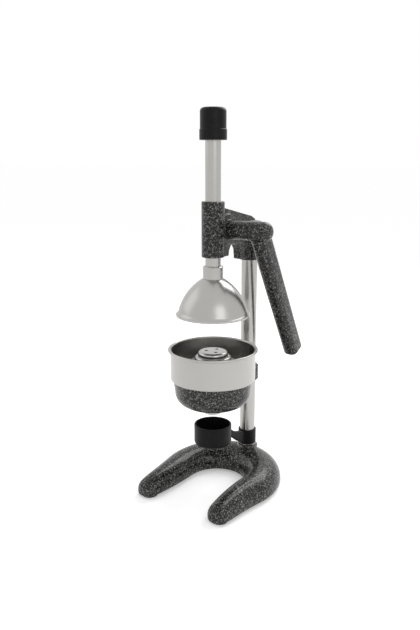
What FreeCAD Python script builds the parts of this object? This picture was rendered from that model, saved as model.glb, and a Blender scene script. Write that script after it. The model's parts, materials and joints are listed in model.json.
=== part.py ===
"""Lever citrus juice press: a rack and pinion plunger over a strainer cup.

Every sub-part is a named object of one document, in millimetres. While it is
being built the plunger's axis is the Z axis, -Y is the front and the lever is
on the +X side. At the end the whole press is moved so that the origin lies on
the table, under the middle of the press.
"""
import FreeCAD, Part
import math
import os
import Sketcher

PARTS_FOLDER = "parts"
# Two places nearer than this count as one
SAME_PLACE = 0.01

# Driving sizes in millimetres and degrees; a height or bottom is above the table,
# and a rise, depth, drop, length or setback counts from the form that it belongs to
DRIVING_SIZES = {
    # Clearances
    "running_gap": 0.06,
    "fixed_gap": 0.02,
    "seat_gap": 0.1,
    "edge_break": 1.0,
    # Plunger rod; its length counts from its lower end
    "rod_diameter": 20.0,
    "rod_length": 203.7,
    "rack_first_groove": 3,
    "rack_grooves": 19,
    # Rack and pinion mesh
    "gear_module": 2.0,
    "gear_teeth": 16,
    "pressure_angle": 20.0,
    "tooth_backlash": 0.24,
    "tip_share": 0.95,
    "root_share": 1.25,
    "rack_addendum": 1.6,
    "gear_width": 12.0,
    "pinion_height": 360.0,
    # Rubber cap on the plunger
    "cap_length": 39.1,
    "cap_skirt_length": 13.6,
    "cap_skirt_diameter": 34.6,
    "cap_diameter": 33.0,
    "cap_roof": 9.5,
    "cap_round": 5.0,
    # Guide tube of the head and its bushes
    "guide_below_pinion": 34.0,
    "guide_above_pinion": 37.4,
    "guide_diameter": 30.0,
    "guide_bore": 24.0,
    "guide_bush_length": 14.0,
    # Head casting between the guide tube and the column
    "web_thickness": 26.0,
    "web_below_guide_top": 6.4,
    "web_back": 99.0,
    "web_back_rise": 9.0,
    "web_crown_radius": 17.0,
    "web_edge_round": 5.0,
    "arch_front": 33.0,
    "arch_width": 15.5,
    "arch_below_pinion": 23.0,
    "arch_slope": 2.5,
    "arch_crown_radius": 5.5,
    "web_socket_rise": 3.0,
    "web_back_inset": 4.0,
    "web_back_drop": 20.0,
    "socket_diameter": 32.0,
    "socket_length": 47.0,
    "socket_roof": 8.0,
    # Barrel for the pinion shaft
    "barrel_diameter": 25.0,
    "barrel_end": 43.0,
    "barrel_boss_end": 19.0,
    "cheek_gap": 14.6,
    "gear_room": 1.4,
    "bush_diameter": 18.0,
    "shaft_diameter": 14.0,
    "shaft_left_end": 22.5,
    "shaft_right_end": 60.0,
    "ring_thickness": 1.2,
    "ring_groove_depth": 0.7,
    "ring_diameter": 20.5,
    "ring_opening": 5.0,
    "key_width": 4.0,
    "key_height": 4.0,
    # Lever
    "lever_lean": 29.0,
    "lever_length": 204.0,
    "lever_thickness": 21.4,
    "lever_width": 27.0,
    "lever_corner": 8.5,
    "lever_end_round": 4.0,
    "lever_hub_diameter": 25.8,
    "lever_hub_length": 29.1,
    "lever_hub_gap": 0.4,
    "lever_hub_round": 10.5,
    "lever_bore_floor": 0.5,
    # Column
    "column_setback": 88.0,
    "column_diameter": 22.0,
    "column_wall": 2.0,
    "column_above_bolt_seat": 4.0,
    "plug_length": 24.0,
    # Base casting; widths and heights are those of its rounded section
    "pad_lift": 3.0,
    "leg_gap": 79.0,
    "leg_flare": 4.5,
    "leg_round_setback": 9.5,
    "toe_setback": 67.0,
    "toe_width": 29.0,
    "toe_height": 24.0,
    "shin_share": 0.36,
    "shin_width": 32.0,
    "shin_height": 27.0,
    "thigh_share": 0.7,
    "thigh_width": 39.0,
    "thigh_height": 30.5,
    "hip_width": 45.0,
    "hip_height": 33.0,
    "quarter_turn": 30.0,
    "quarter_width": 50.5,
    "quarter_height": 34.0,
    "haunch_turn": 60.0,
    "haunch_width": 58.0,
    "haunch_height": 35.0,
    "rear_width": 63.0,
    "rear_height": 35.0,
    "base_skirt": 9.0,
    "base_wall": 6.0,
    "base_boss_diameter": 44.0,
    "ring_seat_depth": 4.5,
    "bolt_diameter": 10.0,
    "bolt_head_across": 16.0,
    "bolt_head_height": 5.0,
    "bolt_hole_room": 0.5,
    "bolt_end_room": 3.0,
    "bolt_seat_height": 9.0,
    "washer_diameter": 24.0,
    "washer_thickness": 1.6,
    "washer_room": 1.0,
    # Rubber pads under the base
    "pad_diameter": 22.0,
    "pad_height": 4.5,
    "pad_room": 0.3,
    "pad_boss_wall": 2.0,
    "pad_stem_diameter": 8.0,
    "pad_stem_length": 6.0,
    "rear_pad_radius": 70.0,
    "rear_pad_angle": 58.0,
    # Stepped ring at the foot of the column
    "foot_ring_diameter": 31.6,
    "foot_ring_room": 0.4,
    "foot_ring_flange": 3.7,
    "foot_ring_height": 8.0,
    "foot_ring_neck": 26.0,
    "foot_ring_edge": 0.6,
    # Drip cup
    "drip_diameter": 51.0,
    "drip_bottom": 68.0,
    "drip_depth": 28.0,
    "drip_wall": 2.2,
    "drip_corner": 4.0,
    "drip_rim_round": 0.8,
    "drip_collar_height": 20.9,
    "drip_collar_wall": 1.9,
    "drip_arm_thickness": 8.0,
    "drip_arm_drop": 4.0,
    "drip_arm_low": 3.0,
    "drip_arm_knee_length": 39.0,
    "drip_arm_knee_rise": 2.3,
    "drip_arm_knee_depth": 15.0,
    "drip_arm_heel": 18.0,
    "drip_arm_curve": 70.0,
    # Bowl that holds the juice cup
    "holder_bottom": 125.0,
    "holder_depth": 36.5,
    "holder_radius": 53.5,
    "holder_lower_radius": 51.2,
    "holder_round": 19.0,
    "holder_wall": 4.0,
    "holder_hole_radius": 15.0,
    "holder_arm_thickness": 15.0,
    "holder_arm_rise": 13.0,
    "holder_arm_depth": 20.0,
    "holder_arm_taper": 1.5,
    "holder_collar_rise": 11.0,
    "holder_collar_length": 24.0,
    "holder_collar_wall": 4.0,
    "holder_collar_chamfer": 2.5,
    # Juice cup and its spout
    "cup_radius": 57.0,
    "cup_rim_reach": 3.2,
    "cup_height": 42.5,
    "cup_rim_bead": 1.7,
    "cup_sheet": 1.2,
    "cup_corner": 2.0,
    "cup_skirt_depth": 5.5,
    "cup_skirt_slope": 2.0,
    "cup_skirt_gap": 0.8,
    "cup_floor_fall": 25.1,
    "spout_radius": 12.2,
    "spout_length": 19.2,
    # Strainer cone; each height counts from the one before it
    "cone_flange_radius": 53.2,
    "cone_skirt_radius": 35.5,
    "cone_foot_radius": 39.0,
    "cone_skirt_rise": 3.0,
    "cone_step_radius": 32.5,
    "cone_step_rise": 17.9,
    "cone_step_round": 1.5,
    "cone_bead_radius": 24.6,
    "cone_bead_rise": 2.4,
    "cone_bead_slope": 0.6,
    "cone_neck_rise": 5.8,
    "cone_neck_round": 3.6,
    "cone_shoulder_radius": 20.2,
    "cone_flat_radius": 16.0,
    "cone_top_rise": 6.8,
    "cone_hole_diameter": 4.6,
    "cone_hole_circle": 9.0,
    "cone_holes": 3,
    "strainer_hole_diameter": 3.0,
    "strainer_hole_circle": 46.0,
    "strainer_holes": 36,
    # Pressing dome, hung below the guide tube; its lip and shoulder count from its lower edge
    "dome_below_guide": 28.0,
    "dome_height": 49.3,
    "dome_neck_radius": 14.0,
    "dome_neck_slope": 1.5,
    "dome_arc": 71.4,
    "dome_shoulder_radius": 45.5,
    "dome_shoulder_rise": 7.3,
    "dome_lip_radius": 49.0,
    "dome_lip_edge": 2.5,
    "dome_lip_round": 0.8,
    "dome_lip_throat": 2.6,
    "dome_lip_arc": 8.0,
    "dome_sheet": 2.0,
    "dome_collar_diameter": 26.4,
    "dome_collar_height": 16.5,
    "dome_screw_diameter": 8.0,
    "dome_screw_room": 0.3,
    "dome_screw_length": 18.0,
    "dome_screw_tip": 2.0,
    "dome_screw_head_across": 13.0,
    "dome_screw_head_height": 4.5,
    "dome_washer_inset": 2.2,
    # Grub screws
    "grub_diameter": 6.0,
    "grub_socket": 3.0,
    "grub_socket_depth": 3.5,
    "grub_sink": 1.0,
    "head_grub_rise": 21.0,
    "holder_grub_rise": 23.0,
    # How far cutting tools run past what they cut
    "overrun": 1.0,
}


class Length:
    """A number kept together with the sheet formula that gives it."""

    def __init__(self, number, formula):
        self.number = float(number)
        self.formula = formula

    def __add__(self, other):
        return Length(self.number + number_of(other), f"({self.formula} + {formula_of(other)})")

    def __radd__(self, other):
        return Length(number_of(other) + self.number, f"({formula_of(other)} + {self.formula})")

    def __sub__(self, other):
        return Length(self.number - number_of(other), f"({self.formula} - {formula_of(other)})")

    def __rsub__(self, other):
        return Length(number_of(other) - self.number, f"({formula_of(other)} - {self.formula})")

    def __mul__(self, other):
        return Length(self.number * number_of(other), f"({self.formula} * {formula_of(other)})")

    __rmul__ = __mul__

    def __truediv__(self, other):
        return Length(self.number / number_of(other), f"({self.formula} / {formula_of(other)})")

    def __neg__(self):
        return Length(-self.number, f"(0 - {self.formula})")


def number_of(value):
    """Give the plain number of a length or of a number."""
    return value.number if isinstance(value, Length) else float(value)


def formula_of(value):
    """Give the sheet formula of a length, or the number as text."""
    return value.formula if isinstance(value, Length) else f"({float(value)!r})"


class Sizes:
    """The driving sizes, read by name as lengths tied to the sheet."""

    def __init__(self, sheet, table):
        self.lengths = {}
        for row, (alias, value) in enumerate(table.items(), start=1):
            sheet.set(f"A{row}", alias)
            sheet.set(f"B{row}", str(value))
            sheet.setAlias(f"B{row}", alias)
            self.lengths[alias] = Length(value, f"{sheet.Name}.{alias}")

    def __getattr__(self, alias):
        return self.lengths[alias]


doc = FreeCAD.newDocument("JuicePress")
sizes_sheet = doc.addObject("Spreadsheet::Sheet", "Sizes")
size = Sizes(sizes_sheet, DRIVING_SIZES)
doc.recompute()

# Every finished sub-part by its label, in building order
sub_parts = {}


# Helpers that draw and cut

def tie(target, path, value):
    """Tie one property of an object to the sheet, unless it is a plain number."""
    if isinstance(value, Length):
        target.setExpression(path, value.formula)


def keep(part, label):
    """Name a finished object and list it as a sub-part."""
    part.Label = label
    sub_parts[label] = part
    return part


def place(part, x=0.0, y=0.0, z=0.0, axis=(0, 0, 1), angle=0.0):
    """Put an object at its place and tie the place to the sheet."""
    base = FreeCAD.Vector(number_of(x), number_of(y), number_of(z))
    turn = FreeCAD.Rotation(FreeCAD.Vector(*axis), number_of(angle))
    part.Placement = FreeCAD.Placement(base, turn)
    tie(part, ".Placement.Base.x", x)
    tie(part, ".Placement.Base.y", y)
    tie(part, ".Placement.Base.z", z)
    tie(part, ".Placement.Rotation.Angle", angle)
    return part


def new_body(label):
    """Start a body that will be one sub-part."""
    return keep(doc.addObject("PartDesign::Body", label), label)


def new_sketch(body, name, plane="XY_Plane", offset=0.0):
    """Start a sketch on one of the body's origin planes, moved along its normal."""
    sketch = body.newObject("Sketcher::SketchObject", name)
    support = [feature for feature in body.Origin.OriginFeatures if feature.Role == plane][0]
    sketch.AttachmentSupport = (support, [""])
    sketch.MapMode = "FlatFace"
    sketch.AttachmentOffset = FreeCAD.Placement(
        FreeCAD.Vector(0, 0, number_of(offset)), FreeCAD.Rotation())
    tie(sketch, ".AttachmentOffset.Base.z", offset)
    return sketch


def hold(sketch, kind, geometry, point, value):
    """Fix one coordinate of a sketch point at a length."""
    index = sketch.addConstraint(
        Sketcher.Constraint(kind, geometry, point, number_of(value)))
    tie(sketch, f"Constraints[{index}]", value)


def hold_radius(sketch, geometry, value):
    """Fix the radius of a sketched circle or arc."""
    index = sketch.addConstraint(Sketcher.Constraint("Radius", geometry, number_of(value)))
    tie(sketch, f"Constraints[{index}]", value)


def flat(x, y):
    """Give a sketch point as a vector."""
    return FreeCAD.Vector(number_of(x), number_of(y), 0)


def add_arc(sketch, here, there, radius, side):
    """Add the short arc between two points, its centre on the left or right of the way."""
    chord = there - here
    half = chord.Length / 2
    height = math.sqrt(max(radius * radius - half * half, 0.0))
    normal = FreeCAD.Vector(-chord.y, chord.x, 0).normalize()
    if side == "right":
        normal = -normal
    centre = (here + there) / 2 + normal * height
    circle = Part.Circle(centre, FreeCAD.Vector(0, 0, 1), radius)
    first, last = (here, there) if side == "left" else (there, here)
    start = math.atan2(first.y - centre.y, first.x - centre.x)
    stop = math.atan2(last.y - centre.y, last.x - centre.x)
    if stop < start:
        stop += 2 * math.pi
    geometry = sketch.addGeometry(Part.ArcOfCircle(circle, start, stop), False)
    return (geometry, 1, 2) if side == "left" else (geometry, 2, 1)


def draw_outline(sketch, corners):
    """Draw a closed outline.

    A corner is (x, y), reached by a line from the corner before it, or
    (x, y, radius, side), reached by an arc with its centre on that side.
    """
    runs = []
    for index, corner in enumerate(corners):
        there = flat(*corner[:2])
        here = flat(*corners[index - 1][:2])
        if len(corner) == 2:
            line = sketch.addGeometry(Part.LineSegment(here, there), False)
            runs.append((line, 1, 2))
        else:
            run = add_arc(sketch, here, there, number_of(corner[2]), corner[3])
            runs.append(run)
    for index, (geometry, _, last) in enumerate(runs):
        following, first, _ = runs[(index + 1) % len(runs)]
        sketch.addConstraint(
            Sketcher.Constraint("Coincident", geometry, last, following, first))
    for (geometry, _, last), corner in zip(runs, corners):
        hold(sketch, "DistanceX", geometry, last, corner[0])
        hold(sketch, "DistanceY", geometry, last, corner[1])
        if len(corner) == 4:
            hold_radius(sketch, geometry, corner[2])


def draw_circle(sketch, x, y, radius):
    """Draw a circle at a point."""
    circle = Part.Circle(flat(x, y), FreeCAD.Vector(0, 0, 1), number_of(radius))
    geometry = sketch.addGeometry(circle, False)
    hold(sketch, "DistanceX", geometry, 3, x)
    hold(sketch, "DistanceY", geometry, 3, y)
    hold_radius(sketch, geometry, radius)


def add_turned(body, name, corners, about="V_Axis"):
    """Turn an outline on the XZ plane about one of the sketch's axes."""
    sketch = new_sketch(body, f"{name}_outline", "XZ_Plane")
    draw_outline(sketch, corners)
    turned = body.newObject("PartDesign::Revolution", name)
    turned.Profile = sketch
    turned.ReferenceAxis = (sketch, [about])
    turned.Angle = 360
    return turned


def turned_body(label, corners, about="V_Axis"):
    """Make a sub-part by turning one outline."""
    body = new_body(label)
    add_turned(body, f"{label}_turned", corners, about)
    return body


def add_pad(body, name, sketch, length, symmetric=False):
    """Pad a sketch along its normal, or both ways alike."""
    pad = body.newObject("PartDesign::Pad", name)
    pad.Profile = sketch
    pad.SideType = "Symmetric" if symmetric else "One side"
    pad.Length = number_of(length)
    tie(pad, "Length", length)
    return pad


def add_pocket(body, name, sketch, length, symmetric=False):
    """Cut a sketch along its normal, or both ways alike, and check that it cuts."""
    doc.recompute()
    before = body.Shape.Volume
    pocket = body.newObject("PartDesign::Pocket", name)
    pocket.Profile = sketch
    pocket.SideType = "Symmetric" if symmetric else "One side"
    pocket.Reversed = not symmetric
    pocket.Length = number_of(length)
    tie(pocket, "Length", length)
    doc.recompute()
    if not body.Shape.Volume < before:
        raise RuntimeError(f"{name} cuts nothing")
    return pocket


def add_rod(body, name, plane, x, y, radius, start, length):
    """Add a round bar along the plane's normal."""
    sketch = new_sketch(body, f"{name}_circle", plane, start)
    draw_circle(sketch, x, y, radius)
    return add_pad(body, name, sketch, length)


def add_bore(body, name, plane, x, y, radius, start, length):
    """Cut a round hole along the plane's normal."""
    sketch = new_sketch(body, f"{name}_circle", plane, start)
    draw_circle(sketch, x, y, radius)
    return add_pocket(body, name, sketch, length)


def add_round(body, name, feature, radius, wanted):
    """Round the edges of a feature that a test picks."""
    doc.recompute()
    edges = [f"Edge{index}" for index, edge in enumerate(feature.Shape.Edges, start=1)
             if wanted(edge)]
    if not edges:
        raise RuntimeError(f"{name} finds no edge")
    fillet = body.newObject("PartDesign::Fillet", name)
    fillet.Base = (feature, edges)
    fillet.Radius = number_of(radius)
    tie(fillet, "Radius", radius)
    return fillet


def rounded_box(centre_x, centre_y, width_x, width_y, corner):
    """Give the corners of a rectangle with rounded corners, anticlockwise."""
    right = centre_x + width_x / 2
    left = centre_x - width_x / 2
    high = centre_y + width_y / 2
    low = centre_y - width_y / 2
    return [
        (right - corner, low), (right, low + corner, corner, "left"),
        (right, high - corner), (right - corner, high, corner, "left"),
        (left + corner, high), (left, high - corner, corner, "left"),
        (left, low + corner), (left + corner, low, corner, "left"),
    ]


def hexagon(across):
    """Give the corners of a hexagon by its width across flats."""
    reach = across / 2 / math.cos(math.radians(30))
    turns = [math.radians(60 * step) for step in range(6)]
    return [(reach * math.cos(turn), reach * math.sin(turn)) for turn in turns]


def grub_screw(label, length):
    """Make a headless screw with a hexagon socket in its outer end, lying along +Z."""
    body = new_body(label)
    radius = size.grub_diameter / 2 - size.fixed_gap
    add_rod(body, f"{label}_shank", "XY_Plane", 0.0, 0.0, radius, 0.0, length)
    socket = new_sketch(body, f"{label}_hexagon", "XY_Plane", length - size.grub_socket_depth)
    draw_outline(socket, hexagon(size.grub_socket))
    add_pocket(body, f"{label}_socket", socket, size.grub_socket_depth * 2)
    return body


def ring_of_holes(body, name, diameter, circle, count, low, depth):
    """Drill a ring of equal holes round the body's upright axis."""
    drill = add_bore(body, f"{name}_hole", "XY_Plane", 0.0, circle, diameter / 2, low, depth)
    ring = body.newObject("PartDesign::PolarPattern", name)
    ring.Originals = [drill]
    ring.Axis = (drill.Profile[0], ["N_Axis"])
    ring.Angle = 360
    ring.Occurrences = int(number_of(count))
    tie(ring, "Occurrences", count)
    body.Tip = ring


def washer(label, inner, outer, thickness):
    """Make a flat washer that stands on its own origin."""
    return turned_body(label, [
        (inner, 0.0), (outer, 0.0), (outer, thickness), (inner, thickness)])


# Sizes that several pieces share, worked out from the driving sizes

edge = size.edge_break
overrun = size.overrun
seat = size.seat_gap
rod_radius = size.rod_diameter / 2
column_radius = size.column_diameter / 2
shaft_radius = size.shaft_diameter / 2
pitch_radius = size.gear_module * size.gear_teeth / 2
rack_pitch = size.gear_module * math.pi
# The rack's pitch line lies one module inside the back of the rod
rack_line = rod_radius - size.gear_module
pinion_setback = rack_line + pitch_radius
gear_tip_radius = pitch_radius + size.gear_module * size.tip_share
gear_dedendum = size.gear_module * size.root_share

guide_bottom = size.pinion_height - size.guide_below_pinion
guide_top = size.pinion_height + size.guide_above_pinion
guide_length = guide_top - guide_bottom
dome_top = guide_bottom - size.dome_below_guide
dome_bottom = dome_top - size.dome_height
rod_bottom = dome_top + seat * 3
rod_top = rod_bottom + size.rod_length
cap_top = rod_top + size.cap_roof
cap_bottom = cap_top - size.cap_length

socket_bottom = size.pinion_height - size.socket_length
column_bottom = size.bolt_seat_height + size.column_above_bolt_seat
column_top = size.pinion_height - size.socket_roof
lever_hub_start = size.barrel_end + size.lever_hub_gap
lever_hub_end = lever_hub_start + size.lever_hub_length

ring_seat_height = size.rear_height - size.ring_seat_depth
foot_ring_top = ring_seat_height + size.foot_ring_height
drip_top = size.drip_bottom + size.drip_depth
drip_collar_top = foot_ring_top + size.drip_collar_height

holder_top = size.holder_bottom + size.holder_depth
holder_inner_radius = size.holder_radius - size.holder_wall
holder_collar_bottom = size.holder_bottom + size.holder_collar_rise
holder_collar_radius = column_radius + size.holder_collar_wall
cup_rim_top = holder_top + size.cup_height
cup_floor_edge = holder_top + seat
spout_top = cup_floor_edge - size.cup_floor_fall - size.cup_skirt_depth


# Plunger

def make_plunger_rack():
    """Round rod with rack teeth cut in its back and a tapped lower end."""
    tapped = size.dome_screw_diameter / 2
    tapped_top = rod_bottom + size.dome_screw_length
    body = turned_body("plunger_rack", [
        (tapped, rod_bottom), (rod_radius - edge, rod_bottom), (rod_radius, rod_bottom + edge),
        (rod_radius, rod_top - edge), (rod_radius - edge, rod_top), (0.0, rod_top),
        (0.0, tapped_top + size.dome_screw_tip), (tapped, tapped_top)])
    slope = math.tan(math.radians(number_of(size.pressure_angle)))
    root = rack_line - gear_dedendum
    outside = rod_radius + overrun
    tip = rack_line + size.rack_addendum
    half_gap = rack_pitch / 4 + size.tooth_backlash / 2
    root_half = half_gap - (rack_line - root) * slope
    outer_half = half_gap + (outside - rack_line) * slope
    lowest = size.pinion_height - rack_pitch * size.rack_first_groove
    groove = new_sketch(body, "rack_groove_outline", "YZ_Plane")
    draw_outline(groove, [
        (root, lowest - root_half), (outside, lowest - outer_half),
        (outside, lowest + outer_half), (root, lowest + root_half)])
    cut = add_pocket(body, "rack_groove", groove, size.rod_diameter * 2, symmetric=True)
    row = body.newObject("PartDesign::LinearPattern", "rack_teeth")
    row.Originals = [cut]
    row.Direction = (groove, ["V_Axis"])
    row.Mode = "Spacing"
    row.Offset = number_of(rack_pitch)
    tie(row, "Offset", rack_pitch)
    row.Occurrences = int(number_of(size.rack_grooves))
    tie(row, "Occurrences", size.rack_grooves)
    body.Tip = row
    # The tips of the teeth are milled flat over the length of the rack
    flat_cut = new_sketch(body, "rack_flat_outline", "YZ_Plane")
    highest = lowest + rack_pitch * (size.rack_grooves - 1)
    draw_outline(flat_cut, [
        (tip, lowest - outer_half), (outside, lowest - outer_half),
        (outside, highest + outer_half), (tip, highest + outer_half)])
    add_pocket(body, "rack_flat", flat_cut, size.rod_diameter * 2, symmetric=True)


def make_plunger_cap():
    """Black rubber cap with a thicker skirt, pushed over the top of the rod."""
    bore = rod_radius + size.fixed_gap
    skirt = size.cap_skirt_diameter / 2
    crown = size.cap_diameter / 2
    skirt_top = cap_bottom + size.cap_skirt_length
    turned_body("plunger_cap", [
        (bore, cap_bottom), (skirt - edge, cap_bottom), (skirt, cap_bottom + edge, edge, "left"),
        (skirt, skirt_top - (skirt - crown)), (crown, skirt_top),
        (crown, cap_top - size.cap_round),
        (crown - size.cap_round, cap_top, size.cap_round, "left"), (0.0, cap_top),
        (0.0, rod_top + size.fixed_gap), (bore, rod_top + size.fixed_gap)])


def make_dome_collar():
    """Sleeve round the lower end of the rod, on top of the dome."""
    bore = rod_radius + size.fixed_gap
    outer = size.dome_collar_diameter / 2
    low = dome_top + size.fixed_gap
    high = dome_top + size.dome_collar_height
    turned_body("dome_collar", [
        (bore, low), (outer, low), (outer, high - edge), (outer - edge, high), (bore, high)])


def make_pressing_dome():
    """Spun steel bell with a flared lip, open below."""
    sheet = size.dome_sheet
    hole = size.dome_screw_diameter / 2 + size.dome_screw_room
    shoulder = dome_bottom + size.dome_shoulder_rise
    lip = size.dome_lip_radius
    low_round = size.dome_lip_round
    turned_body("pressing_dome", [
        (hole, dome_top - sheet),
        (size.dome_neck_radius - size.dome_neck_slope, dome_top - sheet),
        (size.dome_shoulder_radius - sheet, shoulder, size.dome_arc - sheet, "right"),
        (lip - size.dome_lip_throat, dome_bottom, size.dome_lip_arc + sheet, "left"),
        (lip - low_round, dome_bottom),
        (lip, dome_bottom + low_round, low_round, "left"),
        (lip, dome_bottom + size.dome_lip_edge),
        (size.dome_shoulder_radius, shoulder, size.dome_lip_arc, "right"),
        (size.dome_neck_radius, dome_top, size.dome_arc, "left"),
        (hole, dome_top)])


def make_dome_fixing():
    """Washer and hexagon screw that hold the dome on the rod from inside."""
    ring = washer("dome_washer", size.dome_screw_diameter / 2 + size.fixed_gap,
                  size.dome_neck_radius - size.dome_washer_inset, size.washer_thickness)
    top = dome_top - size.dome_sheet - size.fixed_gap
    place(ring, z=top - size.washer_thickness)
    head_top = top - size.washer_thickness - size.fixed_gap
    screw = new_body("dome_screw")
    head = new_sketch(screw, "dome_screw_hexagon", "XY_Plane", -size.dome_screw_head_height)
    draw_outline(head, hexagon(size.dome_screw_head_across))
    add_pad(screw, "dome_screw_head", head, size.dome_screw_head_height)
    add_rod(screw, "dome_screw_shank", "XY_Plane", 0.0, 0.0,
            size.dome_screw_diameter / 2 - size.fixed_gap, -overrun,
            size.dome_screw_length + overrun)
    place(screw, z=head_top)


# Pinion and its shaft

def involute_angle(radius, base_radius):
    """Give the involute function at a radius outside the base circle."""
    pressure = math.acos(min(base_radius / radius, 1.0))
    return math.tan(pressure) - pressure


def gear_face():
    """Draw the pinion's face in the YZ plane, one tooth pointing to the rack."""
    teeth = int(number_of(size.gear_teeth))
    pitch = number_of(pitch_radius)
    tip = number_of(gear_tip_radius)
    root = pitch - number_of(gear_dedendum)
    base = pitch * math.cos(math.radians(number_of(size.pressure_angle)))
    half_pitch = (math.pi * pitch / teeth - number_of(size.tooth_backlash)) / 2 / pitch
    flank_count = 5

    def point(radius, angle):
        return FreeCAD.Vector(0, radius * math.cos(angle), radius * math.sin(angle))

    def half_width(radius):
        return half_pitch + involute_angle(pitch, base) - involute_angle(radius, base)

    edges = []
    step = 2 * math.pi / teeth
    radii = [base + (tip - base) * index / (flank_count - 1) for index in range(flank_count)]
    for tooth in range(teeth):
        middle = math.pi + tooth * step
        rising = [point(radius, middle - half_width(radius)) for radius in radii]
        falling = [point(radius, middle + half_width(radius)) for radius in reversed(radii)]
        foot_in = point(root, middle - half_width(base))
        foot_out = point(root, middle + half_width(base))
        next_foot = point(root, middle + step - half_width(base))
        up = Part.BSplineCurve()
        up.interpolate(rising)
        down = Part.BSplineCurve()
        down.interpolate(falling)
        edges.append(Part.LineSegment(foot_in, rising[0]).toShape())
        edges.append(up.toShape())
        edges.append(Part.Arc(rising[-1], point(tip, middle), falling[0]).toShape())
        edges.append(down.toShape())
        edges.append(Part.LineSegment(falling[-1], foot_out).toShape())
        edges.append(Part.Arc(foot_out, point(root, middle + step / 2), next_foot).toShape())
    return Part.Face(Part.Wire(Part.__sortEdges__(edges)))


def make_pinion_gear():
    """Spur pinion with a bore and a keyway for the shaft."""
    width = number_of(size.gear_width)
    bore = number_of(shaft_radius + size.fixed_gap)
    key_half = number_of(size.key_width) / 2 + number_of(size.fixed_gap)
    key_top = number_of(shaft_radius + size.key_height / 2 + size.fixed_gap)
    along = FreeCAD.Vector(1, 0, 0)
    blank = gear_face().extrude(along * width)
    hole = Part.makeCylinder(bore, width, FreeCAD.Vector(0, 0, 0), along)
    keyway = Part.makeBox(width, 2 * key_half, key_top, FreeCAD.Vector(0, -key_half, 0))
    gear = keep(doc.addObject("Part::Feature", "pinion_gear"), "pinion_gear")
    gear.Shape = blank.cut(hole).cut(keyway)
    place(gear, x=-(size.gear_width / 2), y=pinion_setback, z=size.pinion_height)


def make_pinion_shaft():
    """Shaft through the barrel, with a keyway and a groove for the retaining ring."""
    left = -size.shaft_left_end
    right = size.shaft_right_end
    groove_right = -size.barrel_boss_end - seat
    groove_left = groove_right - size.ring_thickness - seat
    groove_radius = shaft_radius - size.ring_groove_depth
    body = turned_body("pinion_shaft", [
        (left, 0.0), (right, 0.0), (right, shaft_radius - edge), (right - edge, shaft_radius),
        (groove_right, shaft_radius), (groove_right, groove_radius),
        (groove_left, groove_radius), (groove_left, shaft_radius),
        (left + edge, shaft_radius), (left, shaft_radius - edge)], about="H_Axis")
    slot = new_sketch(body, "keyway_outline", "XY_Plane", shaft_radius - size.key_height / 2)
    half = size.gear_width / 2 + size.fixed_gap
    side = size.key_width / 2 + size.fixed_gap
    draw_outline(slot, [(half, -side), (half, side), (-half, side), (-half, -side)])
    add_pocket(body, "keyway", slot, size.key_height)
    place(body, y=pinion_setback, z=size.pinion_height)


def make_pinion_key():
    """Square key between the shaft and the pinion."""
    key = doc.addObject("Part::Box", "pinion_key")
    keep(key, "pinion_key")
    tie(key, "Length", size.gear_width)
    tie(key, "Width", size.key_width)
    tie(key, "Height", size.key_height - size.fixed_gap)
    place(key, x=-(size.gear_width / 2), y=pinion_setback - size.key_width / 2,
          z=size.pinion_height + shaft_radius - size.key_height / 2 + size.fixed_gap)


def make_shaft_bush(label, left, right):
    """Bronze bush between the head and the pinion shaft."""
    inner = shaft_radius + size.running_gap
    outer = size.bush_diameter / 2 - size.fixed_gap
    body = turned_body(label, [
        (left, inner), (right, inner), (right, outer), (left, outer)], about="H_Axis")
    place(body, y=pinion_setback, z=size.pinion_height)


def make_shaft_ring():
    """Open retaining ring in the groove at the shaft's left end."""
    body = new_body("shaft_ring")
    start = -size.barrel_boss_end - seat - seat / 2 - size.ring_thickness
    profile = new_sketch(body, "shaft_ring_outline", "YZ_Plane", start)
    draw_circle(profile, 0.0, 0.0, size.ring_diameter / 2)
    draw_circle(profile, 0.0, 0.0, shaft_radius - size.ring_groove_depth + size.fixed_gap)
    add_pad(body, "shaft_ring_disc", profile, size.ring_thickness)
    gap = new_sketch(body, "shaft_ring_gap_outline", "YZ_Plane", start - overrun)
    side = size.ring_opening / 2
    reach = size.ring_diameter
    draw_outline(gap, [(-side, 0.0), (side, 0.0), (side, reach), (-side, reach)])
    add_pocket(body, "shaft_ring_gap", gap, size.ring_thickness + overrun * 2)
    place(body, y=pinion_setback, z=size.pinion_height)


# Lever

def make_lever():
    """Cast lever: a domed hub on the shaft and a long rounded arm."""
    body = new_body("lever_arm")
    hub = size.lever_hub_diameter / 2
    corner = size.lever_hub_round
    add_turned(body, "lever_hub", [
        (lever_hub_start, 0.0), (lever_hub_end, 0.0), (lever_hub_end, hub - corner),
        (lever_hub_end - corner, hub, corner, "left"),
        (lever_hub_start + edge, hub), (lever_hub_start, hub - edge)], about="H_Axis")
    section = new_sketch(body, "lever_section", "XY_Plane", -size.lever_length)
    middle = lever_hub_start + size.lever_hub_gap + size.lever_thickness / 2
    draw_outline(section, rounded_box(
        middle, 0.0, size.lever_thickness, size.lever_width, size.lever_corner))
    arm = add_pad(body, "lever_bar", section, size.lever_length - hub / 2)
    bottom = -number_of(size.lever_length)
    add_round(body, "lever_end", arm, size.lever_end_round,
              lambda edge: abs(edge.BoundBox.ZMax - bottom) < SAME_PLACE)
    add_bore(body, "lever_bore", "YZ_Plane", 0.0, 0.0, shaft_radius + size.fixed_gap,
             lever_hub_start - overrun,
             size.shaft_right_end - lever_hub_start + overrun + size.lever_bore_floor)
    add_bore(body, "lever_grub_hole", "XZ_Plane", lever_hub_start + size.lever_thickness / 2,
             0.0, size.grub_diameter / 2, -(hub + overrun), hub + overrun)
    place(body, y=pinion_setback, z=size.pinion_height, axis=(1, 0, 0), angle=size.lever_lean)


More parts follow.
